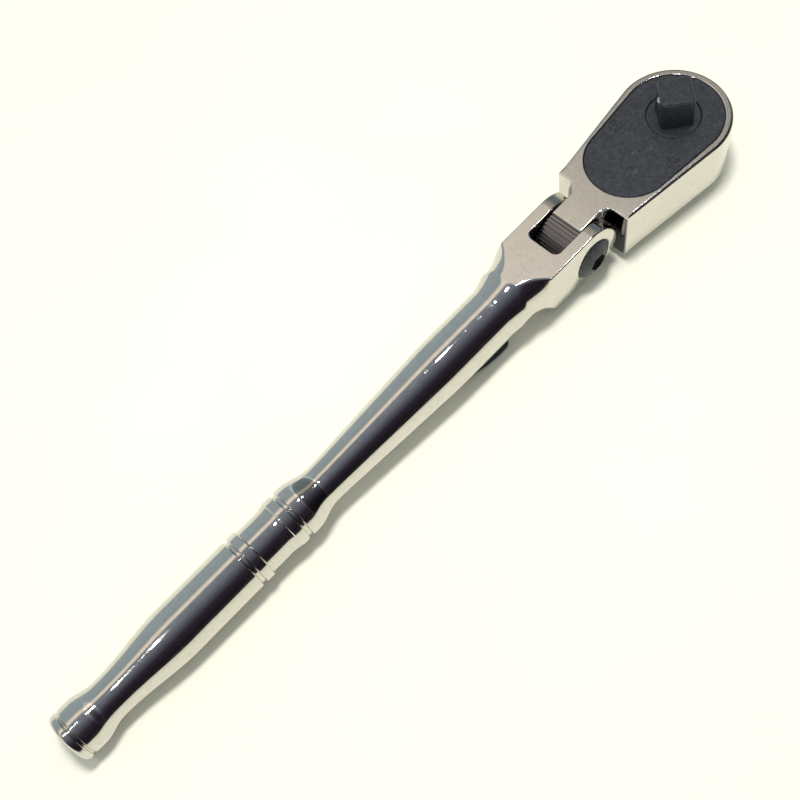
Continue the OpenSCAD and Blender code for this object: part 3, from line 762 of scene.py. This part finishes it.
HANDLE_AXES = [
    # finer at the butt, at the two rings and at the clevis
    spaced(BUTT_X - MARGIN, (BUTT_X + 6, 0.25), (REAR_GROOVE[0] - 1, 0.9),
           (FRONT_GROOVE[1] + 1.3, 0.16), (-144, 0.5), (-98.5, 0.8), (-76, 0.35),
           (HINGE_X + CLEVIS_HALF + MARGIN, 0.28)),
    spaced(-10.8, (10.8, 0.3)),
    spaced(-10.5, (10.5, 0.3)),
]
HEAD_AXES = [
    # finer at the knuckle, and at the edges of the top and bottom faces
    spaced(HINGE_X - KNUCKLE_TIP_R - MARGIN, (HINGE_X + 1, 0.14), (TIP_R + MARGIN, 0.32)),
    spaced(-TIP_R - MARGIN, (TIP_R + MARGIN, 0.3)),
    spaced(-HEAD_HALF - MARGIN, (-HEAD_HALF + 1.2, 0.17), (0, 0.3),
           (HEAD_HALF + MARGIN, 0.17)),
]

SKINS = [
    # CAD node, field, body, grid
    ("handle", handle, HANDLE_AXES),
    ("head_housing", head_housing, HEAD_AXES),
    ("cover_plate", cover_plate, node_axes("cover_plate", 0.22)),
    ("cover_screws", cover_screws, node_axes("cover_screws", 0.14)),
    ("drive_gear", drive_gear, node_axes("drive_gear", 0.2)),
    ("detent_ball", detent_ball, node_axes("detent_ball", 0.16)),
    ("hinge_nut", hinge_nut, node_axes("hinge_nut", 0.2)),
    ("hinge_screw", hinge_screw, node_axes("hinge_screw", 0.2)),
    ("trigger", trigger, node_axes("trigger", 0.2)),
    ("reverse_lever", reverse_lever, node_axes("reverse_lever", 0.22)),
]

SLOT_OF = {s["node"]: s["material_slot"] for s in frame["record"]["subparts"]}
BODY_OF = {node: obj["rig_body"] for node, obj in frame["nodes"].items()}

for node, obj in frame["nodes"].items():
    finish_with(obj, SLOT_OF[node])

for node, field, axes in SKINS:
    solid_piece(node, field, BODY_OF[node], axes, SLOT_OF[node])


# ---- Floor, light and camera ----

TOOL_MIDDLE = (-110, 0, 0)


def floor():
    """Pale table that the butt and the reverse lever's hub rest on."""
    bpy.ops.mesh.primitive_plane_add(size=6)
    table = bpy.context.object
    table.name = "floor"
    butt = Vector((BUTT_X + 1, 0, -BUTT_R)) * MM
    hub = Vector((LEVER_X - LEVER_HUB_R, 0, LEVER_TOP - LEVER_HUB_T - 0.02)) * MM
    slope = (hub.z - butt.z) / (hub.x - butt.x)
    table.rotation_euler = (0, -math.atan(slope), 0)
    table.location = hub
    made, n = material("pale_table")
    cloud = n.noise(0.012, 3.0)
    color = n.ramp(cloud, [(0.3, (0.88, 0.85, 0.75)), (0.7, (0.91, 0.88, 0.78))])
    n.surface(color, 0.0, 0.55, n.noise(0.8, 4.0), 0.02)
    table.data.materials.append(made)


def world():
    """Dim room: light to the left of the tool, dark behind the viewer."""
    made = bpy.data.worlds.new("room")
    bpy.context.scene.world = made
    made.use_nodes = True
    n = Nodes(made.node_tree)
    x, y, z = n.split(n.add("ShaderNodeTexCoord"))
    # bands of the room run along the tool, from its left side over to its right
    turn = n.math("DIVIDE", n.math("ARCTAN2", z, y), math.pi)
    color = n.ramp(turn, [
        (0.00, (0.42, 0.50, 0.54)),
        (0.30, (0.36, 0.43, 0.48)),
        (0.345, (0.98, 0.88, 0.74)),
        (0.385, (1.10, 0.98, 0.86)),
        (0.42, (0.27, 0.30, 0.35)),
        (0.54, (0.20, 0.22, 0.28)),
        (0.64, (0.11, 0.11, 0.145)),
        (0.74, (0.035, 0.028, 0.045)),
        (0.90, (0.014, 0.012, 0.017)),
        (1.00, (0.03, 0.03, 0.03)),
    ])
    # brightest over the clevis, and darker towards the tip of the head
    level = n.ramp(x, [(0.325, 0.66), (0.355, 1.0), (0.385, 1.0), (0.425, 0.36), (0.54, 0.30)])
    seen = n.add("ShaderNodeBackground", {0: color, 1: n.math("MULTIPLY", level, 1.5)})
    # soft light that fills the shadows, and isn't seen in the chrome
    fill = n.add("ShaderNodeBackground", {0: (0.90, 1.0, 0.97, 1), 1: 0.52})
    for_camera, _, for_diffuse = n.add("ShaderNodeLightPath").node.outputs[:3]
    light = n.add("ShaderNodeMixShader", {0: for_diffuse, 1: seen, 2: fill})
    # plain pale backdrop for low views, past the edge of the floor
    backdrop = n.add("ShaderNodeBackground", {0: (0.82, 0.81, 0.76, 1), 1: 1.0})
    whole = n.add("ShaderNodeMixShader", {0: for_camera, 1: light, 2: backdrop})
    n.add_output(whole, "ShaderNodeOutputWorld")


def lamp(name, place, size, watts, color, in_chrome=True):
    """Round lamp aimed at the middle of the tool; in_chrome says if the metal reflects it."""
    light = bpy.data.lights.new(name, "AREA")
    light.shape, light.size = "DISK", size * MM
    light.energy, light.color = watts, color
    obj = bpy.data.objects.new(name, light)
    bpy.context.scene.collection.objects.link(obj)
    obj.location = Vector(place) * MM
    aim = Vector(TOOL_MIDDLE) * MM - obj.location
    obj.rotation_mode = "QUATERNION"
    obj.rotation_quaternion = aim.to_track_quat("-Z", "Y")
    obj.visible_glossy = in_chrome


def camera():
    """Camera at the photo's angle, as fitted to the tool in it."""
    data = bpy.data.cameras.new("camera")
    data.lens, data.sensor_width = 51.64, 36
    obj = bpy.data.objects.new("camera", data)
    bpy.context.scene.collection.objects.link(obj)
    right = Vector((0.68938, -0.71207, -0.13305))
    up = Vector((0.69118, 0.5916, 0.41506))
    back = right.cross(up)
    turn = Matrix((right, up, back)).transposed().to_4x4()
    place = Vector((-183.04, -117.63, 283.49)) * MM
    obj.matrix_world = Matrix.Translation(place) @ turn
    data.clip_start, data.clip_end = 0.01, 20
    bpy.context.scene.camera = obj


floor()
world()
lamp("key", (-60, 40, 680), 130, 3.3, (1.0, 0.985, 0.93), in_chrome=False)
for x in (-380, 60, 250):
    lamp("glint", (x, 30, 680), 60, 0.30, (1.0, 0.98, 0.94))
camera()
bpy.context.scene.view_settings.view_transform = "Standard"
